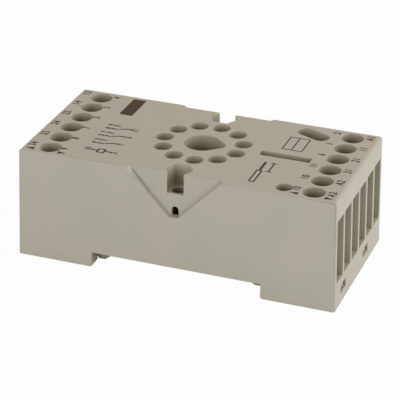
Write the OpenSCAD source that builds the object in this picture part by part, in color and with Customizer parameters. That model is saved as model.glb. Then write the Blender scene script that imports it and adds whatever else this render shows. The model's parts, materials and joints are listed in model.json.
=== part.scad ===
// Eleven-pin relay socket for a 35 mm rail, with twelve box-clamp screw terminals.
// The rail runs along Y, the terminals stand in two rows at the ends of X,
// and the origin lies under the middle of the pin circle, at the foot.

/* [Housing] */
// Length of the housing along its top edges
top_len = 76.7; // [76:0.1:80]
// How far each end wall leans out between the top edge and the foot
end_lean = 0.75; // [0.4:0.05:1]
// Width of the housing
body_w = 38.2; // [38:0.1:42]
// Height of the housing over its feet
body_h = 27.5; // [27:0.1:32]
// Thickness of the walls around the base plate
wall = 1.7; // [1.5:0.1:2]
// Rounding of the two end edges of the top
end_round = 0.9; // [0.5:0.1:1.2]
// Rounding of the long edges of the top and of the upright corners
side_round = 0.5; // [0.3:0.1:0.8]
// Rounding of the foot corners beside the rail channel
foot_round = 0.6; // [0.3:0.1:0.9]

/* [Relay pins] */
// Diameter of the circle that the pin holes lie on
pin_circle_d = 19.05; // [18.8:0.05:19.6]
// Diameter of each pin hole at the top face
pin_hole_d = 4.35; // [4:0.05:4.6]
// Depth of the wide mouth of each pin hole
pin_mouth_h = 2; // [1.5:0.1:3]
// Diameter of the throat under the mouth
pin_throat_d = 2.9; // [2.7:0.05:3.2]
// Height of the throat
pin_throat_h = 1.5; // [1:0.1:2]
// Diameter of the guide hole in the middle
guide_d = 8.7; // [8:0.1:9]
// Depth of the guide hole
guide_depth = 14.5; // [12:0.5:15]
// Reach of the key notch past the wall of the guide hole
key_reach = 1.2; // [0.8:0.1:1.5]
// Width of the key notch at its tip
key_w = 1.6; // [1.2:0.1:2]
// Angle between the roots of the key notch's two sides
key_angle = 84; // [70:1:88]

/* [Contacts] */
// Diameter of the relay pins that the sleeves take
relay_pin_d = 2.4; // [2.2:0.05:2.5]
// Outer diameter of the contact sleeves
sleeve_d = 3.6; // [3.4:0.05:3.8]
// Length of the contact sleeves
sleeve_len = 9; // [7:0.5:10]
// Width of the slits that let a sleeve spring open
sleeve_slit = 0.5; // [0.4:0.05:0.7]
// Thickness of the contact metal
metal_t = 0.7; // [0.5:0.05:0.8]
// Width of the flat tracks under the block
track_w = 2; // [1.6:0.1:2.2]
// Air between the lower and the upper layer of tracks
layer_gap = 1.05; // [0.8:0.05:1.4]

/* [Terminals] */
// Distance of each row of terminal screws from the middle
row_x = 32; // [31.5:0.1:32.5]
// Width of the wire slots in the end walls
slot_w = 5; // [4.8:0.05:5.2]
// Wall left outside the first and the last wire slot of a row
slot_wall = 1.2; // [1:0.1:1.5]
// Height of the floor of the wire slots
slot_floor = 6.7; // [6.5:0.1:7]
// Depth of a terminal cell behind the middle of its screw
slot_back = 4; // [3.6:0.1:4.4]
// Thickness of the roof over the wire slots
slot_roof = 5.3; // [5:0.1:5.6]
// Diameter of the screwdriver holes
access_d = 5.3; // [5:0.05:5.5]
// Diameter of the lip that keeps the screws in
lip_d = 3.9; // [3.6:0.1:4.1]
// Height of that lip
lip_h = 1.2; // [0.8:0.1:1.6]
// Diameter of the terminal screws
screw_d = 3; // [2.8:0.1:3.2]
// Diameter of the screw heads
head_d = 4.6; // [4.4:0.05:4.7]
// Height of the screw heads
head_h = 1.9; // [1.6:0.1:2.1]
// Width of the driver slot in the screw heads
driver_slot = 0.7; // [0.6:0.05:0.9]
// Depth of the driver slot
driver_depth = 0.8; // [0.6:0.05:1]
// Length of a clamp cage along the wire
cage_len = 5.6; // [5.2:0.1:5.8]
// Thickness of the two sides of a cage
cage_side = 0.7; // [0.6:0.05:0.8]
// Thickness of the floor of a cage
cage_floor = 1; // [0.8:0.1:1.2]
// Thickness of the threaded top of a cage
cage_nut = 2.2; // [2:0.1:2.4]
// Height of the open cages over the floor of the wire slots
cage_lift = 1.9; // [1.7:0.1:2.1]
// Height that an open cage leaves for the wire
wire_room = 3.4; // [3:0.1:3.6]

/* [Fixing holes] */
// Distance of the two fixing holes from the long faces
bolt_edge = 3.7; // [3.6:0.05:3.9]
// Diameter of the fixing holes
bolt_d = 3.2; // [3:0.1:3.4]
// Wall around a fixing hole where it passes the contacts
boss_wall = 0.8; // [0.6:0.1:1]
// Width across the flats of the nut pockets
nut_flats = 5.8; // [5.5:0.05:5.9]
// Depth of the nut pockets
nut_depth = 5.3; // [4:0.1:6]
// Width of the mouth that opens each nut pocket to the side
nut_mouth = 3.6; // [3.2:0.1:3.8]

/* [Clip recesses] */
// Width of a clip recess at the top face
recess_w = 21.8; // [20:0.1:24]
// Width of a clip recess at its point
recess_tip = 2.3; // [2:0.1:3]
// Height of a clip recess
recess_h = 10.7; // [10:0.1:12]
// Depth of a clip recess
recess_depth = 1.25; // [1:0.05:1.4]
// Run of the ramps in the upper corners of a clip recess
ramp_run = 0.8; // [0.6:0.1:1.5]
// Width of the clip hole in the point of a recess
clip_hole_w = 1.6; // [1.2:0.1:1.8]
// Height of the clip hole
clip_hole_h = 2.2; // [1.8:0.1:2.6]

/* [Top recesses] */
// Distance of the module slit's middle from the centre
slit_x = 20.35; // [20:0.05:20.6]
// Length of the module slit
slit_len = 12.3; // [11:0.1:12.6]
// Width of the module slit
slit_w = 2.4; // [2:0.1:2.6]
// Depth of the module slit
slit_depth = 7; // [5:0.5:9]
// Width of the oblong hole
oblong_w = 4; // [3.6:0.1:4.2]
// Distance between the ends' centres in the oblong hole
oblong_run = 4.7; // [4:0.1:4.8]
// Slant of the oblong hole
oblong_slant = -22.6; // [-25:0.1:-20]
// Distance of the oblong hole's middle from the centre
oblong_x = 22.75; // [22:0.05:23]
// Distance of the oblong hole's middle from the long face
oblong_edge = 5; // [4.6:0.1:5.4]
// Diameter of the small round hole
peg_d = 3.9; // [3.6:0.1:4]
// Distance of the small round hole from the centre
peg_x = 25; // [24.5:0.1:25.5]
// Depth of the oblong and the round hole
peg_depth = 8; // [6:0.5:9]

/* [Rail channel] */
// Width of the mounting rail
rail_w = 35; // [34.8:0.1:35.2]
// Width of the channel between the feet
channel_w = 41.6; // [41.2:0.1:42]
// Height of the channel
channel_h = 3.75; // [3.6:0.05:4]
// Offset of the channel towards the fixed hook
channel_shift = 0.5; // [0:0.1:0.8]
// How far the hooks reach under the rail
hook_grip = 0.7; // [0.5:0.05:0.9]
// Height of the blunt ends of the hooks
hook_lip = 0.25; // [0.2:0.05:0.4]
// Thickness of the fixed hook
hook_t = 1.25; // [1:0.05:1.3]
// Run of the slope under the fixed hook
hook_slope = 1.4; // [1:0.1:1.8]
// Height between the hooks and the channel roof
rail_gap = 1.4; // [1.2:0.05:1.6]
// Distance of the hooks' ends from the long faces
hook_inset = 3.85; // [3.6:0.05:4.2]

/* [Base plate and latch] */
// Thickness of the base plate
base_t = 1.8; // [1.6:0.05:2]
// Height of the base plate's feet over the surface
foot_gap = 0.3; // [0.2:0.05:0.4]
// Thickness of the walls under the base plate
rib_t = 1.5; // [1.2:0.1:1.6]
// Width of the snap lugs
lug_w = 3.9; // [3.6:0.1:4]
// Distance of the lugs' tips behind the end faces
lug_inset = 0.6; // [0.4:0.1:0.9]
// Height of the blunt tips of the lugs
lug_lip = 0.45; // [0.3:0.05:0.6]
// Height of the windows that the lugs snap into
window_h = 2.1; // [2:0.1:2.3]
// Height of the lower edge of those windows
window_z = 2.5; // [2.4:0.05:2.6]
// Thickness of the latch plate
latch_t = 1.7; // [1.5:0.05:1.8]
// Travel of the latch when it is pulled
latch_travel = 2.5; // [2:0.1:2.6]
// Run of the slope on the nose of the latch
nose_run = 2.2; // [1.8:0.1:2.6]
// Distance of the pull tab's end behind the end face
tab_inset = 0.4; // [0.3:0.1:1]
// Width of the pull tab of the latch
tab_w = 6.6; // [6:0.1:6.8]
// Width of the lips that carry the latch
guide_w = 1.8; // [1.4:0.1:2.2]
// Distance of the spring's post from the rail channel
post_back = 10; // [9.6:0.1:10.2]
// Thickness of that post
post_len = 1; // [0.8:0.1:1.2]
// Outer diameter of the latch spring
spring_d = 2.8; // [2.5:0.1:3]
// Diameter of the spring wire
spring_wire = 0.45; // [0.35:0.05:0.5]
// Turns of the spring
spring_turns = 6; // [5:1:7]
// Length of the spring as fitted
spring_len = 6.2; // [5.8:0.1:6.6]

/* [Clearances] */
// Clearance between a moving piece and its guide
slide_gap = 0.2; // [0.15:0.01:0.25]
// Clearance between fitted pieces that don't move
fit_gap = 0.15; // [0.1:0.01:0.2]
// Clearance of the screws in their cages
thread_gap = 0.05; // [0.03:0.01:0.08]
// Clearance of the relay pins in their sleeves
pin_gap = 0.05; // [0.03:0.01:0.08]
// Clearance at each end of the spring
spring_gap = 0.05; // [0.03:0.01:0.08]

/* [Hidden] */
$fn = 48;
pins = 11;
rows = 6;
eps = 0.01;
top_half = top_len / 2;
foot_half = top_half + end_lean;
side_y = body_w / 2;
row_pitch = (body_w - 2 * slot_wall - slot_w) / (rows - 1);
bolt_y = side_y - bolt_edge;
lean_angle = atan2(end_lean, body_h);
plastic = [0.70, 0.68, 0.60];
inner_plastic = [0.50, 0.46, 0.37];
brass = [0.80, 0.66, 0.36];
steel = [0.72, 0.73, 0.74];

// Heights, from the foot up
base_top = channel_h + base_t;
low_track_z = base_top;
high_track_z = low_track_z + metal_t + layer_gap;
block_floor = high_track_z + metal_t;
slot_top = body_h - slot_roof;
sleeve_top = body_h - pin_mouth_h - pin_throat_h;
sleeve_bottom = sleeve_top - sleeve_len;
cage_bottom = slot_floor + cage_lift;
tongue_z = cage_bottom + cage_floor + wire_room;
cage_roof = tongue_z + metal_t + 2 * slide_gap;
cage_h = cage_roof + cage_nut - cage_bottom;
head_top = slot_top - 1.5 * slide_gap;
screw_tip = tongue_z + metal_t + slide_gap;
pocket_floor = body_h - nut_depth;

// Places along X
cell_x = row_x - slot_back;
riser_x = cell_x + slide_gap / 2;
tongue_end = row_x + cage_len / 2 - slide_gap;
track_space = riser_x + metal_t + 4 * slide_gap;
cavity_half = foot_half - wall;
plate_half = cavity_half - fit_gap;
plate_y = side_y - wall - fit_gap;
channel_left = channel_shift - channel_w / 2;
channel_right = channel_shift + channel_w / 2;
hook_y = side_y - hook_inset;
hook_top = channel_h - rail_gap;
fixed_tip = channel_shift + rail_w / 2 - hook_grip;
latch_tip = channel_shift - rail_w / 2 + hook_grip;
latch_low = hook_top - latch_t + hook_lip;
post_x = channel_left - post_back;
spring_x = post_x + post_len + spring_gap;

// Widths that follow the wire slot
cage_w = slot_w - 2 * fit_gap;
window_w = cage_w - 2 * cage_side;
tongue_w = window_w - 2 * fit_gap;

// Terminal labels from the back of each row to its front
left_labels = ["12", "14", "22", "24", "32", "34"];
right_labels = ["a1", "11", "21", "31", "a2", "a2_spare"];
function row_y(i) = (rows / 2 - 0.5 - i) * row_pitch;

// Pins count from the key notch, anticlockwise from above
function pin_at(n) = pin_circle_d / 2 * [cos((n - 0.5) * 360 / pins), sin((n - 0.5) * 360 / pins)];
// Side and row of the terminal that each pin feeds
pin_side = [1, 1, -1, -1, -1, 1, -1, -1, -1, 1, 1];
pin_row = [1, 0, 1, 0, 2, 2, 3, 4, 5, 4, 3];
// Tracks that cross under another one run in the lower layer
pin_low = [false, false, true, false, false, true, false, false, true, false, false];
// Where each track turns into the line of its row, in diameters of the pin circle
pin_turn = pin_circle_d * [0.8, 0.525, -0.26, -0.525, -0.6, 0.68, -0.6, -0.37, -0.46, 0.525, 0.63];

LEFT_SCREWS = [for (l = left_labels) str("screw_", l)];
RIGHT_SCREWS = [for (l = right_labels) str("screw_", l)];
LEFT_CAGES = [for (l = left_labels) str("cage_", l)];
RIGHT_CAGES = [for (l = right_labels) str("cage_", l)];
CONTACTS = [for (n = [1 : pins]) str("contact_", n)];

// Outline with its corners rounded: each point is [x, y, radius]
function corner_points(a, b, c, r) = let(
        u = (a - b) / norm(a - b), v = (c - b) / norm(c - b),
        half = acos(u * v) / 2, centre = b + r / sin(half) * (u + v) / norm(u + v),
        p = b + u * r / tan(half) - centre, turn = cross(u, v) > 0 ? -1 : 1, steps = 5)
    [for (i = [0 : steps]) let(t = turn * i / steps * (180 - 2 * half))
        centre + [p.x * cos(t) - p.y * sin(t), p.x * sin(t) + p.y * cos(t)]];
function rounded(points) = let(n = len(points)) [for (i = [0 : n - 1]) let(
        q = points[i], a = points[(i + n - 1) % n], c = points[(i + 1) % n])
    each q.z > 0 ? corner_points([a.x, a.y], [q.x, q.y], [c.x, c.y], q.z) : [[q.x, q.y]]];

// A flat profile in X and Z, drawn out along Y about the middle
module across_y(width) {
    rotate([90, 0, 0]) translate([0, 0, -width / 2]) linear_extrude(width) children();
}

// A block from one corner to the opposite one
module block(low, high) {
    translate(low) cube(high - low);
}

// Waste that rounds a long edge running along Z, with its corner at the origin
module edge_waste(radius, length) {
    difference() {
        translate([-radius, -radius, 0]) cube([2 * radius, 2 * radius, length]);
        translate([-radius, -radius, -1]) cylinder(r = radius, h = length + 2);
    }
}

// ---- Housing -------------------------------------------------------------

module shell() {
    difference() {
        across_y(body_w) polygon(rounded([
            [-foot_half, 0, 0], [channel_left, 0, foot_round],
            [channel_left, channel_h, 0], [channel_right, channel_h, 0],
            [channel_right, 0, foot_round], [foot_half, 0, 0],
            [top_half, body_h, end_round], [-top_half, body_h, end_round]]));
        for (s = [0, 1], t = [0, 1]) mirror([s, 0, 0]) mirror([0, t, 0])
            translate([foot_half, side_y, 0]) rotate([0, -lean_angle, 0])
                translate([0, 0, -1]) edge_waste(side_round, body_h + 2);
        for (t = [0, 1]) mirror([0, t, 0])
            translate([foot_half + 1, side_y, body_h]) rotate([0, -90, 0])
                edge_waste(side_round, 2 * foot_half + 2);
    }
}

module pin_holes() {
    for (n = [1 : pins]) translate(pin_at(n)) {
        translate([0, 0, body_h - pin_mouth_h]) cylinder(d = pin_hole_d, h = pin_mouth_h + 1);
        translate([0, 0, sleeve_top - eps]) cylinder(d = pin_throat_d, h = pin_throat_h + 2 * eps);
        translate([0, 0, block_floor - eps])
            cylinder(d = sleeve_d + 4 * fit_gap, h = sleeve_top - block_floor + eps);
    }
}

module guide_hole() {
    root = 0.495 * guide_d * [cos(key_angle / 2), sin(key_angle / 2)];
    tip = [guide_d / 2 + key_reach, key_w / 2];
    translate([0, 0, body_h - guide_depth]) linear_extrude(guide_depth + 1) {
        circle(d = guide_d);
        polygon([[0, 0], [root.x, -root.y], [tip.x, -tip.y], tip, root]);
    }
}

// Cell for one terminal, with its screwdriver hole, on the +X end
module terminal_cell(y) {
    block([cell_x, y - slot_w / 2, slot_floor], [foot_half + 1, y + slot_w / 2, slot_top]);
    translate([row_x, y, slot_top - eps]) cylinder(d = lip_d, h = slot_roof);
    translate([row_x, y, slot_top + lip_h]) cylinder(d = access_d, h = slot_roof);
}

module fixing_hole() {
    translate([0, bolt_y, -1]) cylinder(d = bolt_d, h = body_h);
    translate([0, bolt_y, pocket_floor]) {
        cylinder(d = nut_flats / cos(30), h = nut_depth + 1, $fn = 6);
        block([-nut_mouth / 2, 0, 0], [nut_mouth / 2, side_y, nut_depth + 1]);
    }
}

// Recess for the wire clip that holds a relay down, on the +Y face
module clip_recess() {
    floor_y = side_y - recess_depth;
    out_y = side_y + recess_depth;
    top = recess_w / 2;
    tip = recess_tip / 2;
    point_z = body_h - recess_h;
    translate([0, side_y, 0]) across_y(2 * recess_depth)
        polygon([[-top, body_h + 1], [-top, body_h], [-tip, point_z], [tip, point_z],
            [top, body_h], [top, body_h + 1]]);
    for (s = [0, 1]) mirror([s, 0, 0]) polyhedron(
        points = [[top, floor_y, body_h + eps], [top, out_y, body_h + eps],
            [top + 2 * ramp_run, out_y, body_h + eps], [tip, side_y, point_z], [tip, out_y, point_z]],
        faces = [[0, 2, 1], [0, 1, 4, 3], [0, 3, 2], [2, 3, 4], [1, 2, 4]]);
    translate([0, 0, point_z]) {
        block([-clip_hole_w / 2, bolt_y, 0], [clip_hole_w / 2, out_y, clip_hole_h - clip_hole_w / 2]);
        translate([0, bolt_y, clip_hole_h - clip_hole_w / 2]) rotate([-90, 0, 0])
            cylinder(d = clip_hole_w, h = out_y - bolt_y);
    }
}

module top_recesses() {
    translate([slit_x, 0, body_h - slit_depth / 2 + 1])
        cube([slit_len, slit_w, slit_depth + 2], center = true);
    translate([oblong_x, side_y - oblong_edge, body_h - peg_depth]) rotate(oblong_slant)
        linear_extrude(peg_depth + 1) {
            square([oblong_run, oblong_w], center = true);
            for (s = [-1, 1]) translate([s * oblong_run / 2, 0]) circle(d = oblong_w);
        }
    translate([peg_x, -bolt_y, body_h - peg_depth]) cylinder(d = peg_d, h = peg_depth + 1);
}

module base_cavity() {
    block([-cavity_half, wall - side_y, -1], [cavity_half, side_y - wall, base_top]);
    difference() {
        block([-track_space, wall - side_y + eps, base_top - eps],
            [track_space, side_y - wall - eps, block_floor]);
        for (t = [0, 1]) mirror([0, t, 0]) {
            translate([0, bolt_y, 0]) cylinder(d = bolt_d + 2 * boss_wall, h = body_h);
            block([-bolt_d / 2, bolt_y, 0], [bolt_d / 2, side_y, body_h]);
        }
    }
}

module lug_windows() {
    for (s = [-1, 1], y = lug_places())
        translate([s * foot_half, y, window_z + window_h / 2])
            cube([4 * wall, lug_w + 2 * slide_gap, window_h], center = true);
    tab_half = tab_w / 2 + 1.5 * slide_gap;
    block([-foot_half - 1, -tab_half, -1],
        [-cavity_half + eps, tab_half, latch_low + latch_t + 1.5 * slide_gap]);
}

module housing() color(plastic) difference() {
    shell();
    base_cavity();
    pin_holes();
    guide_hole();
    for (s = [0, 1], i = [0 : rows - 1]) mirror([s, 0, 0]) terminal_cell(row_y(i));
    for (t = [0, 1]) mirror([0, t, 0]) {
        fixing_hole();
        clip_recess();
    }
    top_recesses();
    lug_windows();
}

// ---- Base plate ----------------------------------------------------------

function lug_places() = [-2 * row_pitch, row_pitch];

module snap_lug() {
    root = plate_half - lug_inset;
    tip = foot_half - lug_inset;
    low = window_z + fit_gap;
    high = window_z + window_h - fit_gap;
    across_y(lug_w)
        polygon([[root, low], [root, high], [plate_half, high], [tip, low + lug_lip], [tip, low]]);
}

module fixed_foot() {
    inner = channel_right + fit_gap;
    middle = (inner + plate_half) / 2;
    difference() {
        block([inner, -plate_y, foot_gap], [plate_half, plate_y, channel_h + eps]);
        for (s = [0, 1], t = [0, 1]) mirror([0, t, 0]) {
            x0 = s == 0 ? inner + rib_t : middle + rib_t / 2;
            x1 = s == 0 ? middle - rib_t / 2 : plate_half - rib_t;
            block([x0, rib_t / 2, -1], [x1, plate_y - rib_t, channel_h]);
        }
    }
    across_y(2 * hook_y) polygon([[inner + eps, hook_top], [fixed_tip, hook_top],
        [fixed_tip, hook_top - hook_lip], [fixed_tip + hook_slope, hook_top - hook_t],
        [inner + eps, hook_top - hook_t]]);
}

module latch_guides() {
    lip_end = channel_left - latch_travel - 2 * slide_gap;
    for (t = [0, 1]) mirror([0, t, 0]) {
        block([-plate_half, hook_y + slide_gap, foot_gap], [channel_left - eps, plate_y, channel_h + eps]);
        block([-plate_half, hook_y - guide_w, foot_gap],
            [lip_end, hook_y + slide_gap + eps, latch_low - slide_gap]);
        block([-plate_half, tab_w / 2 + 2 * slide_gap, foot_gap],
            [rib_t - plate_half, plate_y, channel_h + eps]);
        block([2 * rib_t - plate_half, hook_y / 2, latch_low + latch_t + slide_gap],
            [channel_left - rib_t, hook_y / 2 + rib_t, channel_h + eps]);
    }
    block([post_x, -spring_d / 2 + slide_gap, latch_low],
        [post_x + post_len, spring_d / 2 - slide_gap, channel_h + eps]);
}

module base_plate() color(inner_plastic) difference() {
    union() {
        block([-plate_half, -plate_y, channel_h], [plate_half, plate_y, base_top]);
        fixed_foot();
        latch_guides();
        for (s = [0, 1], y = lug_places()) mirror([s, 0, 0]) translate([0, y, 0]) snap_lug();
    }
    for (s = [-1, 1]) translate([0, s * bolt_y, 0]) cylinder(d = bolt_d + 4 * fit_gap, h = body_h);
}

// ---- Rail latch ----------------------------------------------------------

module rail_latch() color(plastic) {
    high = latch_low + latch_t;
    nose_low = foot_gap + fit_gap;
    back = rib_t - plate_half + latch_travel + slide_gap;
    tab_end = tab_inset - foot_half;
    slot_half = spring_d / 2 + slide_gap;
    difference() {
        union() {
            block([back, -hook_y, latch_low], [channel_left, hook_y, high]);
            block([tab_end, -tab_w / 2, latch_low], [back + eps, tab_w / 2, high]);
            across_y(2 * hook_y) polygon([[channel_left - eps, high], [channel_left - eps, nose_low],
                [latch_tip - nose_run, nose_low], [latch_tip, hook_top - hook_lip], [latch_tip, hook_top],
                [channel_left + hook_lip, hook_top], [channel_left + hook_lip, high]]);
        }
        block([post_x - 1.5 * slide_gap, -slot_half, 0],
            [spring_x + spring_len + spring_gap, slot_half, channel_h]);
        block([tab_end + tab_w / 6, -tab_w / 4, 0], [tab_end + tab_w / 3, tab_w / 4, channel_h]);
    }
}

// Coil swept as one tube with flat ends, along X
module latch_spring() {
    sides = 8;
    steps = 14;
    coil_r = (spring_d - spring_wire) / 2;
    run = spring_len - spring_wire;
    count = steps * spring_turns;
    start = spring_x + spring_wire / 2;
    function ring(k) = let(a = 360 * k / steps)
        [for (j = [0 : sides - 1]) let(b = 360 * j / sides, r = coil_r + spring_wire / 2 * cos(b))
            [start + run * k / count + spring_wire / 2 * sin(b), r * cos(a), r * sin(a)]];
    points = [for (k = [0 : count]) each ring(k)];
    walls = [for (k = [0 : count - 1], j = [0 : sides - 1]) let(
            a = k * sides + j, b = k * sides + (j + 1) % sides) [a, b, b + sides, a + sides]];
    caps = [[for (j = [0 : sides - 1]) sides - 1 - j], [for (j = [0 : sides - 1]) count * sides + j]];
    color(steel) translate([0, 0, latch_low + latch_t / 2])
        polyhedron(points = points, faces = concat(walls, caps));
}

// ---- Contacts ------------------------------------------------------------

module track(points) {
    linear_extrude(metal_t) for (i = [0 : len(points) - 1]) {
        translate(points[i]) circle(d = track_w);
        if (i > 0) let(run = points[i] - points[i - 1])
            translate(points[i - 1]) rotate(atan2(run.y, run.x))
                translate([0, -track_w / 2]) square([norm(run), track_w]);
    }
}

module sleeve() {
    translate([0, 0, sleeve_bottom]) difference() {
        cylinder(d = sleeve_d, h = sleeve_len);
        translate([0, 0, metal_t]) cylinder(d = relay_pin_d + 2 * pin_gap, h = sleeve_len);
        for (a = [45, 135]) rotate(a)
            translate([-sleeve_d, -sleeve_slit / 2, 3 * metal_t])
                cube([2 * sleeve_d, sleeve_slit, sleeve_len]);
    }
}

// Upright and tongue that carry a track up into its clamp cage
module terminal_tongue(side, y, low) {
    mirror([side < 0 ? 1 : 0, 0, 0]) {
        block([riser_x, y - tongue_w / 2, low], [riser_x + metal_t, y + tongue_w / 2, tongue_z + metal_t]);
        block([riser_x, y - tongue_w / 2, tongue_z], [tongue_end, y + tongue_w / 2, tongue_z + metal_t]);
    }
}

module contact(n) color(brass) {
    pin = pin_at(n);
    side = pin_side[n - 1];
    y = row_y(pin_row[n - 1]);
    low = pin_low[n - 1] ? low_track_z : high_track_z;
    leg_w = sleeve_d - 2 * fit_gap;
    translate([0, 0, low]) track([pin, [pin_turn[n - 1], y], [side * riser_x, y]]);
    translate(pin) rotate((n - 0.5) * 360 / pins) {
        block([-metal_t / 2, -leg_w / 2, low], [metal_t / 2, leg_w / 2, sleeve_bottom + metal_t]);
        sleeve();
    }
    terminal_tongue(side, y, low);
    if (n == 10) {
        branch_x = pin_turn[9] + 2 * track_w;
        translate([0, 0, low]) track([[branch_x, y], [branch_x + row_pitch, y - row_pitch],
            [side * riser_x, y - row_pitch]]);
        terminal_tongue(side, y - row_pitch, low);
    }
}

// ---- Terminal screws and clamp cages -------------------------------------

module terminal_screw(side, y) color(steel) translate([side * row_x, y, 0]) {
    translate([0, 0, screw_tip]) cylinder(d = screw_d, h = head_top - screw_tip - head_h + eps);
    translate([0, 0, head_top - head_h]) difference() {
        cylinder(d = head_d, h = head_h);
        translate([0, 0, head_h]) {
            cube([2 * head_d, driver_slot, 2 * driver_depth], center = true);
            cube([driver_slot, head_d * 0.6, 2.5 * driver_depth], center = true);
        }
    }
}

module clamp_cage(side, y) color(steel) translate([side * row_x, y, cage_bottom]) difference() {
    translate([-cage_len / 2, -cage_w / 2, 0]) cube([cage_len, cage_w, cage_h]);
    block([-cage_len, -window_w / 2, cage_floor], [cage_len, window_w / 2, cage_roof - cage_bottom]);
    cylinder(d = screw_d + 2 * thread_gap, h = 2 * cage_h);
}

housing();
base_plate();
rail_latch();
latch_spring();
for (n = [1 : pins]) contact(n);
for (i = [0 : rows - 1]) terminal_screw(-1, row_y(i));
for (i = [0 : rows - 1]) terminal_screw(1, row_y(i));
for (i = [0 : rows - 1]) clamp_cage(-1, row_y(i));
for (i = [0 : rows - 1]) clamp_cage(1, row_y(i));
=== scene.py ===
import json
import math

import bmesh
import bpy
from mathutils import Matrix, Vector


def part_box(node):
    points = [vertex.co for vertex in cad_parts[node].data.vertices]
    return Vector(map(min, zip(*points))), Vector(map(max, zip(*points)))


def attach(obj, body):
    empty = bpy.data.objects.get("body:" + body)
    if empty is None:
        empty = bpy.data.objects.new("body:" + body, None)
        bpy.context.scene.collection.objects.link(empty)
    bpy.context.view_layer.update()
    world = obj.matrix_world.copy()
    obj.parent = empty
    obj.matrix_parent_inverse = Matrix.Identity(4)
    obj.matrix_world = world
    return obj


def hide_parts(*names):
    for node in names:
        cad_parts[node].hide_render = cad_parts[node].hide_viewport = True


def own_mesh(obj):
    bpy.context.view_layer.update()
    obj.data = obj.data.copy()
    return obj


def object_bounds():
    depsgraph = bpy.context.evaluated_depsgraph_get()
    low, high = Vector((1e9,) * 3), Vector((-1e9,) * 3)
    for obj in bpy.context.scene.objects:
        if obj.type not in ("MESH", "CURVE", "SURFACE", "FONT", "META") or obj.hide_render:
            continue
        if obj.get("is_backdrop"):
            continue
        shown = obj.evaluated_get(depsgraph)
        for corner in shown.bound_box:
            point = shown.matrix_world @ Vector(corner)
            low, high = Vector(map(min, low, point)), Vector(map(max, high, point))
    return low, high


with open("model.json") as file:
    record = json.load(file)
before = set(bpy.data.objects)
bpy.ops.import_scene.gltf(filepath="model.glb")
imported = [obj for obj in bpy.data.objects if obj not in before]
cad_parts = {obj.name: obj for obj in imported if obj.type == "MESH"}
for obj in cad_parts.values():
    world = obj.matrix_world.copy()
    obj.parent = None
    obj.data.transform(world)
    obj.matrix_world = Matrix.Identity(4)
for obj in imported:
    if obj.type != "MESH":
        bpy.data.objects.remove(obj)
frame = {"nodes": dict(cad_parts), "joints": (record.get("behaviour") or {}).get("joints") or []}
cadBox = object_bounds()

print("relay socket: frame loaded")

mm = 0.001
nodes = frame["nodes"]
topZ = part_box("housing")[1].z


def srgb(red, green, blue):  # a colour as seen on a screen, 0 to 255, for the shader
    channels = [value / 255 for value in (red, green, blue)]
    linear = [c / 12.92 if c <= 0.04045 else ((c + 0.055) / 1.055) ** 2.4 for c in channels]
    return (*linear, 1.0)


class Signal:  # one output socket; arithmetic on it adds Math nodes
    def __init__(self, recipe, socket):
        self.recipe = recipe
        self.socket = socket

    def maths(self, operation, first, second):
        settings = {"operation": operation}
        return self.recipe.add("ShaderNodeMath", settings, {0: first, 1: second})

    def __add__(self, other):
        return self.maths("ADD", self, other)

    def __radd__(self, other):
        return self.maths("ADD", other, self)

    def __sub__(self, other):
        return self.maths("SUBTRACT", self, other)

    def __rsub__(self, other):
        return self.maths("SUBTRACT", other, self)

    def __mul__(self, other):
        return self.maths("MULTIPLY", self, other)

    def __rmul__(self, other):
        return self.maths("MULTIPLY", other, self)


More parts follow.
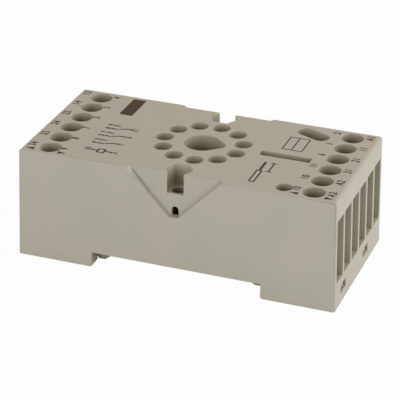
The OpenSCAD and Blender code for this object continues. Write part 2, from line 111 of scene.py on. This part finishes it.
class Recipe:  # the nodes of one material, or of the world
    def __init__(self, owner):
        owner.use_nodes = True
        self.owner = owner
        self.tree = owner.node_tree
        self.tree.nodes.clear()

    def add(self, kind, settings=None, inputs=None, output=0):
        node = self.tree.nodes.new(kind)
        for key, value in (settings or {}).items():
            setattr(node, key, value)
        for key, value in (inputs or {}).items():
            if isinstance(value, Signal):
                self.tree.links.new(value.socket, node.inputs[key])
            else:
                node.inputs[key].default_value = value
        return Signal(self, node.outputs[output]) if node.outputs else node

    def where(self):
        return self.add("ShaderNodeTexCoord", output="Object")

    def stretched(self, x, y, z):  # the place on the piece, with each axis stretched
        settings = {"operation": "MULTIPLY"}
        return self.add("ShaderNodeVectorMath", settings, {0: self.where(), 1: (x, y, z)})

    def noise(self, size, detail=2.0, roughness=0.5, place=None):  # size of a blot in metres
        inputs = {"Vector": place or self.where(), "Scale": 1 / size,
                  "Detail": detail, "Roughness": roughness}
        return self.add("ShaderNodeTexNoise", inputs=inputs)

    def cells(self, size):
        inputs = {"Vector": self.where(), "Scale": 1 / size}
        return self.add("ShaderNodeTexVoronoi", {"feature": "F1"}, inputs)

    def ramp(self, factor, low, high):  # 0 below low and 1 above high
        inputs = {"Value": factor, "From Min": low, "From Max": high}
        return self.add("ShaderNodeMapRange", {"clamp": True}, inputs)

    def blend(self, factor, first, second):  # sockets 6 and 7 are the node's two colours
        inputs = {0: factor, 6: first, 7: second}
        return self.add("ShaderNodeMix", {"data_type": "RGBA"}, inputs, 2)

    def upward(self):  # 1 on horizontal faces that look up, 0 on upright ones; it places the painted top light
        normal = self.add("ShaderNodeTexCoord", output="Normal")
        return self.add("ShaderNodeSeparateXYZ", inputs={0: normal}, output=2)

    def paintedShadeAmount(self, reach):  # 1 in tight corners and holes, 0 in the open; it places the painted shade there
        settings = {"samples": 8}
        open_ = self.add("ShaderNodeAmbientOcclusion", settings, {"Distance": reach}, "AO")
        return 1 - open_

    def seenDirectly(self):  # 1 for the camera and in mirrors, 0 for the light that surfaces get
        kinds = ("Is Camera Ray", "Is Glossy Ray", "Is Transmission Ray")
        camera, mirror, glass = [self.add("ShaderNodeLightPath", output=kind) for kind in kinds]
        return camera.maths("MAXIMUM", camera, camera.maths("MAXIMUM", mirror, glass))

    def bump(self, height, distance, strength):
        inputs = {"Height": height, "Distance": distance, "Strength": strength}
        return self.add("ShaderNodeBump", inputs=inputs)

    def finish(self, colour, roughness, normal, constants):
        inputs = {"Base Color": colour, "Roughness": roughness, "Normal": normal, **constants}
        surface = self.add("ShaderNodeBsdfPrincipled", inputs=inputs)
        self.add("ShaderNodeOutputMaterial", inputs={"Surface": surface})
        return self.owner


def mouldedPlastic(name, look):
    recipe = Recipe(bpy.data.materials.new(name))
    cloudy = recipe.noise(look["cloudSize"], 3.0)
    body = recipe.blend(recipe.ramp(cloudy, *look["cloudSpread"]), look["warm"], look["cool"])
    # painted top light: faces that look up get a warmer, lighter tone
    paintedTopLight = recipe.ramp(recipe.upward(), *look["paintedTopLightSpread"])
    body = recipe.blend(paintedTopLight * look["paintedTopLightTint"], body, look["paintedTopLight"])
    speck = recipe.noise(look["grainSize"], 4.0, 0.7)
    specks = recipe.ramp(speck, *look["speckSpread"])
    toned = recipe.blend(specks * look["speckTint"], body, look["speck"])
    # painted shade: holes and corners turn warm olive at their mouths and dark olive brown deep
    # inside
    shadeAmount = recipe.paintedShadeAmount(look["paintedShadeReach"])
    mouths = recipe.ramp(shadeAmount, *look["mouthSpread"])
    withMouthShade = recipe.blend(mouths * look["mouthTint"], toned, look["mouth"])
    deepShadeMask = recipe.ramp(shadeAmount, *look["paintedDeepShadeSpread"])
    colour = recipe.blend(deepShadeMask * look["paintedDeepShadeTint"], withMouthShade, look["paintedDeepShade"])
    uneven = (cloudy - 0.5) * look["cloudGloss"] + (speck - 0.5) * look["speckGloss"]
    eroded = recipe.cells(look["pitSize"])
    height = speck * (1 - look["pitShare"]) + eroded * look["pitShare"]
    normal = recipe.bump(height, look["grainDepth"], look["grainStrength"])
    return recipe.finish(colour, look["roughness"] + uneven, normal, {"IOR": 1.49})


# a spread is where a pattern starts to show and where it is full
housingLook = {
    "warm": srgb(187, 181, 165), "cool": srgb(182, 178, 162),
    "cloudSize": 14 * mm, "cloudSpread": (0.35, 0.65), "cloudGloss": 0.1,
    # painted top light on faces that look up
    "paintedTopLight": srgb(192, 181, 160), "paintedTopLightTint": 0.9, "paintedTopLightSpread": (0.9, 1.0),
    "speck": srgb(166, 161, 144), "speckTint": 0.25, "speckSpread": (0.62, 0.8),
    # painted shade at the mouths of holes and deep inside them
    "mouth": srgb(166, 156, 116), "mouthTint": 0.75, "mouthSpread": (0.45, 0.8),
    "paintedDeepShade": srgb(70, 62, 30), "paintedDeepShadeTint": 0.95, "paintedDeepShadeSpread": (0.72, 0.97),
    "paintedShadeReach": 14 * mm, "roughness": 0.52, "speckGloss": 0.12,
    "grainSize": 0.16 * mm, "grainDepth": 0.012 * mm, "grainStrength": 0.6,
    "pitSize": 0.272 * mm, "pitShare": 0.3}
housingPlastic = mouldedPlastic("housingPlastic", housingLook)

# painted shade: the base plate gets a darker, browner copy of the housing plastic
shadedBaseLook = {**housingLook, "warm": srgb(171, 162, 143), "cool": srgb(164, 157, 139),
            "speck": srgb(140, 132, 114), "roughness": 0.56, "cloudSize": 9 * mm}
shadedBasePlastic = mouldedPlastic("shadedBasePlastic", shadedBaseLook)

# painted shade: the latch gets a slightly darker copy of the housing plastic
shadedLatchLook = {**housingLook, "warm": srgb(178, 170, 153), "cool": srgb(171, 165, 149),
             "speck": srgb(146, 139, 123), "roughness": 0.5, "cloudSize": 6 * mm}
shadedLatchPlastic = mouldedPlastic("shadedLatchPlastic", shadedLatchLook)


def bareMetal(name, look, along):  # along stretches the brushing, lowest on its own axis
    recipe = Recipe(bpy.data.materials.new(name))
    brushed = recipe.noise(look["brushSize"], 3.0, 0.6, recipe.stretched(*along))
    cloudy = recipe.noise(look["cloudSize"], 3.0)
    plain = recipe.blend(recipe.ramp(cloudy, 0.3, 0.7), look["bright"], look["dull"])
    # painted shade: the metal darkens in its holes and corners
    deepShadeMask = recipe.ramp(recipe.paintedShadeAmount(look["paintedShadeReach"]), *look["paintedDeepShadeSpread"])
    colour = recipe.blend(deepShadeMask * look["paintedDeepShadeTint"], plain, look["paintedDeepShade"])
    roughness = look["roughness"] + brushed * look["brushGloss"] + deepShadeMask * look["hollowGloss"]
    normal = recipe.bump(brushed, look["brushDepth"], look["brushStrength"])
    return recipe.finish(colour, roughness, normal, {"Metallic": 1.0})


zincLook = {
    "bright": srgb(196, 197, 198), "dull": srgb(178, 182, 186), "cloudSize": 2.2 * mm,
    # painted shade in holes and corners
    "paintedDeepShade": srgb(96, 92, 84), "paintedDeepShadeTint": 0.6, "paintedDeepShadeSpread": (0.45, 1.0),
    "paintedShadeReach": 0.8 * mm, "hollowGloss": 0.2, "roughness": 0.24, "brushGloss": 0.2,
    "brushSize": 0.5 * mm, "brushDepth": 0.01 * mm, "brushStrength": 0.35}
cageSteel = bareMetal("cageSteel", zincLook, (1.0, 1.0, 0.12))
screwSteel = bareMetal("screwSteel", zincLook, (1.0, 0.15, 1.0))
springSteel = bareMetal("springSteel", zincLook, (0.2, 1.0, 1.0))

brassLook = {
    "bright": srgb(214, 184, 122), "dull": srgb(197, 163, 98), "cloudSize": 3 * mm,
    # painted shade in holes and corners
    "paintedDeepShade": srgb(112, 84, 46), "paintedDeepShadeTint": 0.55, "paintedDeepShadeSpread": (0.4, 1.0),
    "paintedShadeReach": 1.2 * mm, "hollowGloss": 0.2, "roughness": 0.22, "brushGloss": 0.2,
    "brushSize": 0.6 * mm, "brushDepth": 0.008 * mm, "brushStrength": 0.3}
brass = bareMetal("stampedBrass", brassLook, (0.15, 1.0, 1.0))


def printedInk(name, look):
    recipe = Recipe(bpy.data.materials.new(name))
    patchy = recipe.noise(look["patchSize"], 3.0, 0.6)
    colour = recipe.blend(recipe.ramp(patchy, *look["patchSpread"]), look["full"], look["worn"])
    normal = recipe.bump(recipe.noise(look["edgeSize"]), look["edgeDepth"], look["edgeStrength"])
    roughness = look["roughness"] + patchy * look["patchGloss"]
    return recipe.finish(colour, roughness, normal, {"Specular IOR Level": look["shine"]})


inkLook = {
    "full": srgb(34, 26, 18), "worn": srgb(50, 40, 30), "roughness": 0.5, "shine": 0.2,
    "patchSize": 0.35 * mm, "patchSpread": (0.4, 0.75), "patchGloss": 0.15,
    "edgeSize": 0.08 * mm, "edgeDepth": 0.004 * mm, "edgeStrength": 0.4}
ink = printedInk("printedInk", inkLook)
barLook = {**inkLook, "full": srgb(58, 32, 14), "worn": srgb(70, 42, 22)}
barInk = printedInk("barInk", barLook)


def dress(node, material):
    for place in nodes[node].material_slots:
        place.material = material


softening = {"weld": 0.001 * mm, "flatTurn": 0.4, "edgeTurn": 38, "segments": 2}


def soften(node, width):  # moulded and stamped edges are never quite sharp
    piece = nodes[node]
    for attribute in ("custom_normal", "sharp_edge", "sharp_face"):
        if attribute in piece.data.attributes:
            piece.data.attributes.remove(piece.data.attributes[attribute])
    weld = piece.modifiers.new("weld", "WELD")
    weld.merge_threshold = softening["weld"]
    flatten = piece.modifiers.new("flatten", "DECIMATE")
    flatten.decimate_type = "DISSOLVE"
    flatten.angle_limit = math.radians(softening["flatTurn"])
    bevel = piece.modifiers.new("bevel", "BEVEL")
    bevel.width = width
    bevel.segments = softening["segments"]
    bevel.limit_method = "ANGLE"
    bevel.angle_limit = math.radians(softening["edgeTurn"])
    bevel.use_clamp_overlap = False
    normals = piece.modifiers.new("normals", "WEIGHTED_NORMAL")
    normals.weight = 100  # percent, so that the widest face decides


edgeRounding = {"housing": 0.16 * mm, "base_plate": 0.12 * mm, "rail_latch": 0.12 * mm,
                "contact": 0.05 * mm, "cage": 0.1 * mm, "screw": 0.08 * mm}
finishes = {"housing": housingPlastic, "base_plate": shadedBasePlastic, "rail_latch": shadedLatchPlastic,
            "latch_spring": springSteel, "contact": brass, "cage": cageSteel, "screw": screwSteel}

for name in nodes:
    kind = name if name in finishes else name.split("_")[0]
    dress(name, finishes[kind])
    if kind in edgeRounding:
        soften(name, edgeRounding[kind])
print("finishes on", len(nodes), "parts")


def makeSpring():  # a copy fixed to the socket stands for the coil, which shortens as the latch is pulled; the copy keeps its length
    spring = bpy.data.objects.new("coilSpring", nodes["latch_spring"].data.copy())
    bpy.context.scene.collection.objects.link(spring)
    low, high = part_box("latch_spring")
    pull = next(joint for joint in frame["joints"] if joint["name"] == "latch_pull")
    keep = 1 - max(pull["range_m"]) / (high.x - low.x)
    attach(spring, "socket")
    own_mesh(spring)
    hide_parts("latch_spring")


makeSpring()


printing = {
    "lift": 0.015 * mm, "boldness": 0.065 * mm, "narrow": 0.8, "spacing": 1.12,
    "capHeight": 0.72, "row": 6.37 * mm, "firstRow": 16.75 * mm, "dotCorners": 12}


def printText(words, x, y, height):
    # reads towards the back, with the tops of the letters towards the left end
    curve = bpy.data.curves.new("text", "FONT")
    curve.body = words
    curve.align_x = "CENTER"
    curve.align_y = "CENTER"
    curve.size = height / printing["capHeight"]
    curve.space_character = printing["spacing"]
    curve.offset = printing["boldness"]
    curve.extrude = printing["lift"] / 2
    curve.resolution_u = 4
    text = bpy.data.objects.new("text", curve)
    bpy.context.scene.collection.objects.link(text)
    text.matrix_world = (Matrix.Translation((x, y, topZ + printing["lift"] / 2))
                         @ Matrix.Rotation(math.radians(90), 4, "Z")
                         @ Matrix.Diagonal((printing["narrow"], 1, 1, 1)))
    return text


def addPlate(mesh, outline):  # one flat patch of ink; the corners go round anticlockwise
    lower = [mesh.verts.new((x, y, topZ)) for x, y in outline]
    upper = [mesh.verts.new((x, y, topZ + printing["lift"])) for x, y in outline]
    mesh.faces.new(upper)
    mesh.faces.new(lower[::-1])
    for i in range(len(outline)):
        j = (i + 1) % len(outline)
        mesh.faces.new((lower[i], lower[j], upper[j], upper[i]))


def joinPrint(name, material, texts, patches):
    bpy.context.view_layer.update()
    graph = bpy.context.evaluated_depsgraph_get()
    mesh = bmesh.new()
    for text in texts:
        part = bpy.data.meshes.new_from_object(text.evaluated_get(graph))
        part.transform(text.matrix_world)
        mesh.from_mesh(part)
    for outline in patches:
        addPlate(mesh, outline)
    data = bpy.data.meshes.new(name)
    mesh.to_mesh(data)
    mesh.free()
    for text in texts:
        bpy.data.objects.remove(text)
    piece = bpy.data.objects.new(name, data)
    bpy.context.scene.collection.objects.link(piece)
    data.materials.clear()
    data.materials.append(material)
    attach(piece, "socket")


def stroke(start, end, width):  # a straight line of ink, from start to end in millimetres
    (x1, y1), (x2, y2) = start, end
    length = math.hypot(x2 - x1, y2 - y1)
    sideX, sideY = (y2 - y1) / length * width / 2, (x1 - x2) / length * width / 2
    corners = [(x1 + sideX, y1 + sideY), (x2 + sideX, y2 + sideY),
               (x2 - sideX, y2 - sideY), (x1 - sideX, y1 - sideY)]
    return [(x * mm, y * mm) for x, y in corners]


def frameOf(low, high, width):  # the four strokes of a box
    half = width / 2
    left, right = low[0] + half, high[0] - half
    return [stroke((left, low[1]), (left, high[1]), width),
            stroke((right, low[1]), (right, high[1]), width),
            stroke((left + half, low[1] + half), (right - half, low[1] + half), width),
            stroke((left + half, high[1] - half), (right - half, high[1] - half), width)]


def dot(x, y, radius):
    corners = printing["dotCorners"]
    turns = [2 * math.pi * i / corners for i in range(corners)]
    return [((x + radius * math.cos(t)) * mm, (y + radius * math.sin(t)) * mm) for t in turns]


terminalNumbers = {
    "left": ["12", "14", "22", "24", "32", "34"], "leftX": -36.3 * mm,
    "right": ["A1", "11", "21", "31", "A2", "A2"], "rightX": 36.2 * mm, "height": 1.85 * mm}
pinNumbers = {
    "left": ["4", "3", "5", "7", "8", "9"], "leftX": -28.4 * mm,
    "right": ["2", "1", "6", "11", "10", "10"], "rightX": 27.95 * mm, "height": 1.75 * mm}
# an arrow has the middle of its base on X and points to the left, -1, or to the right, 1
arrow = {"y": -17.45, "length": 2.1, "width": 1.25,
         "bases": [(-35.1, -1), (-29.2, 1), (28.9, -1), (35.1, 1)]}


def numbersAndArrows():
    texts, arrows = [], []
    for row in (terminalNumbers, pinNumbers):
        for side in ("left", "right"):
            for i, words in enumerate(row[side]):
                y = printing["firstRow"] - i * printing["row"]
                texts.append(printText(words, row[side + "X"], y, row["height"]))
    for x, way in arrow["bases"]:
        half = arrow["width"] / 2
        tip = (x + way * arrow["length"], arrow["y"])
        corners = [(x, arrow["y"] - half * way), tip, (x, arrow["y"] + half * way)]
        arrows.append([(cx * mm, cy * mm) for cx, cy in corners])
    joinPrint("printedNumbers", ink, texts, arrows)


# the circuit of a relay with three changeover contacts and a coil, in millimetres; base and
# top are its ends along X, and a pole gives its Y and the pins of its arm, rest and work
circuit = {
    "base": -16.4, "top": -24.0, "line": 0.4, "dot": 0.33, "pinHeight": 1.45,
    "poles": [(-8.2, "1", "4", "3"), (-3.9, "6", "5", "7"), (0.4, "11", "8", "9")],
    "spread": 0.95, "armFrom": 2.9, "armTo": 3.1, "miss": 0.2,
    "pinGap": 0.5, "baseDot": 1.5, "baseLead": 1.7, "topDot": 1.6, "topLead": 1.8,
    "coil": -13.0, "coilPins": ("2", "10"), "coilFrom": 4.8, "coilTo": 2.8, "coilHalf": 1.1}


def circuitDiagram():
    texts, strokes = [], []
    line, spread, miss = circuit["line"], circuit["spread"], circuit["miss"]
    base, top = circuit["base"], circuit["top"]
    arm, fixed = base - circuit["armFrom"], top + circuit["armTo"]
    baseLead, topLead = base - circuit["baseLead"], top + circuit["topLead"]

    def pin(words, x, y, dotX):
        texts.append(printText(words, x * mm, y * mm, circuit["pinHeight"] * mm))
        strokes.append(dot(dotX, y, circuit["dot"]))

    def basePin(words, y):
        pin(words, base - circuit["pinGap"], y, base - circuit["baseDot"])

    def topPin(words, y):
        pin(words, top + circuit["pinGap"], y, top + circuit["topDot"])

    for y, common, rest, work in circuit["poles"]:
        strokes.append(stroke((baseLead, y), (arm, y), line))
        strokes.append(stroke((arm, y), (fixed, y - spread + miss), line))
        basePin(common, y)
        for words, at in ((rest, y - spread), (work, y + spread)):
            strokes.append(stroke((fixed - miss, at), (topLead, at), line))
            topPin(words, at)
    y, half = circuit["coil"], circuit["coilHalf"]
    left, right = base - circuit["coilFrom"], base - circuit["coilTo"]
    strokes += frameOf((left, y - half), (right, y + half), line)
    strokes += [stroke((left, y), (topLead, y), line), stroke((right, y), (baseLead, y), line)]
    basePin(circuit["coilPins"][0], y)
    topPin(circuit["coilPins"][1], y)
    joinPrint("printedCircuit", ink, texts, strokes)


# a wire with its end stripped beside a measuring line, and an empty table, in millimetres
wiring = {"wireX": 17.2, "from": -15.6, "stripped": -9.2, "to": -4.6, "line": 0.36,
          "sleeve": 1.5, "core": 0.6, "measureX": 19.3, "tickHalf": 0.7}
table = {"low": (18.25, 3.6), "high": (23.25, 10.85), "line": 0.28, "divider": 20.6}


def wiringMarks():
    x, line, stripped, end = (wiring[key] for key in ("wireX", "line", "stripped", "to"))
    half = wiring["sleeve"] / 2
    strokes = frameOf((x - half, wiring["from"]), (x + half, stripped), line)
    strokes.append(stroke((x, stripped), (x, end), wiring["core"]))
    measure, tick = wiring["measureX"], wiring["tickHalf"]
    strokes.append(stroke((measure, stripped), (measure, end), line))
    for y in (stripped - line / 2, end - line / 2):
        strokes.append(stroke((measure - tick, y), (measure + tick, y), line))
    inset = table["line"]
    strokes += frameOf(table["low"], table["high"], inset)
    low, high = table["low"][1] + inset, table["high"][1] - inset
    strokes.append(stroke((table["divider"], low), (table["divider"], high), inset))
    joinPrint("printedWiring", ink, [], strokes)


bar = {"low": (-24.3, 8.0), "high": (-21.0, 17.6)}


def plainBar():
    (x1, y1), (x2, y2) = bar["low"], bar["high"]
    outline = [(x1 * mm, y1 * mm), (x2 * mm, y1 * mm), (x2 * mm, y2 * mm), (x1 * mm, y2 * mm)]
    joinPrint("printedBar", barInk, [], [outline])


numbersAndArrows()
circuitDiagram()
wiringMarks()
plainBar()
print("prints made")


shot = {"aim": (-0.4 * mm, 0, 12.4 * mm), "distance": 452.9 * mm, "azimuth": 19.78,
        "elevation": 26.51, "roll": 0.85, "lens": 171.7, "sensor": 36, "near": 10 * mm}


def makeCamera():
    data = bpy.data.cameras.new("camera")
    data.lens = shot["lens"]
    data.sensor_width = shot["sensor"]
    data.clip_start = shot["near"]
    camera = bpy.data.objects.new("camera", data)
    bpy.context.scene.collection.objects.link(camera)
    around, above = math.radians(shot["azimuth"]), math.radians(shot["elevation"])
    back = Vector((math.sin(around) * math.cos(above), -math.cos(around) * math.cos(above),
                   math.sin(above)))
    camera.location = Vector(shot["aim"]) + back * shot["distance"]
    turn = (-back).to_track_quat("-Z", "Y").to_matrix()
    roll = Matrix.Rotation(math.radians(shot["roll"]), 3, "Z")
    camera.rotation_euler = (turn @ roll).to_euler()
    bpy.context.scene.camera = camera


white = (1.0, 1.0, 1.0, 1.0)
studio = {"lampSize": 0.5, "fill": 0.223, "floorSize": 3.0, "floorGlow": 0.97,
          "paper": srgb(233, 233, 233), "paperShade": srgb(230, 230, 230), "paperGrain": 3 * mm}
lamps = {
    "endLamp": {"at": (0.6305, 0.3153, 0.3783), "watts": 3.15},
    "frontLamp": {"at": (-0.3369, -0.6737, 0.2695), "watts": 2.25},
    "cornerLamp": {"at": (0.6131, -0.4905, 0.1533), "watts": 1.95},
    "topLamp": {"at": (0.0, 0.0, 0.8), "watts": 0.47}}


def makeLamps():
    for name, lamp in lamps.items():
        data = bpy.data.lights.new(name, "AREA")
        data.shape = "SQUARE"
        data.size = studio["lampSize"]
        data.energy = lamp["watts"]
        data.color = white[:3]
        piece = bpy.data.objects.new(name, data)
        bpy.context.scene.collection.objects.link(piece)
        piece.location = lamp["at"]
        piece.rotation_euler = (-Vector(lamp["at"])).to_track_quat("-Z", "Y").to_euler()


def makeWorld():
    world = bpy.data.worlds.new("studio")
    bpy.context.scene.world = world
    recipe = Recipe(world)
    inputs = {"Color": white, "Strength": studio["fill"]}
    light = recipe.add("ShaderNodeBackground", inputs=inputs)
    backdrop = recipe.add("ShaderNodeBackground", inputs={"Color": white, "Strength": 1.0})
    inputs = {0: recipe.seenDirectly(), 1: light, 2: backdrop}
    mixed = recipe.add("ShaderNodeMixShader", inputs=inputs)
    recipe.add("ShaderNodeOutputWorld", inputs={"Surface": mixed})


def makeFloor():
    recipe = Recipe(bpy.data.materials.new("paleFloor"))
    grain = recipe.noise(studio["paperGrain"])
    pale = recipe.blend(grain, studio["paper"], studio["paperShade"])
    inputs = {"Base Color": pale, "Roughness": 1.0, "Specular IOR Level": 0.0}
    paper = recipe.add("ShaderNodeBsdfPrincipled", inputs=inputs)
    glow = recipe.add("ShaderNodeEmission", inputs={"Color": white, "Strength": 1.0})
    inputs = {0: recipe.seenDirectly() * studio["floorGlow"], 1: paper, 2: glow}
    mixed = recipe.add("ShaderNodeMixShader", inputs=inputs)
    recipe.add("ShaderNodeOutputMaterial", inputs={"Surface": mixed})
    mesh = bmesh.new()
    bmesh.ops.create_grid(mesh, x_segments=8, y_segments=8, size=studio["floorSize"])
    data = bpy.data.meshes.new("floor")
    mesh.to_mesh(data)
    mesh.free()
    floor = bpy.data.objects.new("floor", data)
    floor.location.z = cadBox[0].z
    data.materials.append(recipe.owner)
    bpy.context.scene.collection.objects.link(floor)
    floor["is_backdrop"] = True


makeCamera()
makeLamps()
makeWorld()
makeFloor()
bpy.context.scene.view_settings.view_transform = "Standard"
print("camera, lamps and floor made")

boxes = {"cad": cadBox, "visual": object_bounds()}
boxes = {key: [list(corner) for corner in box] for key, box in boxes.items()}
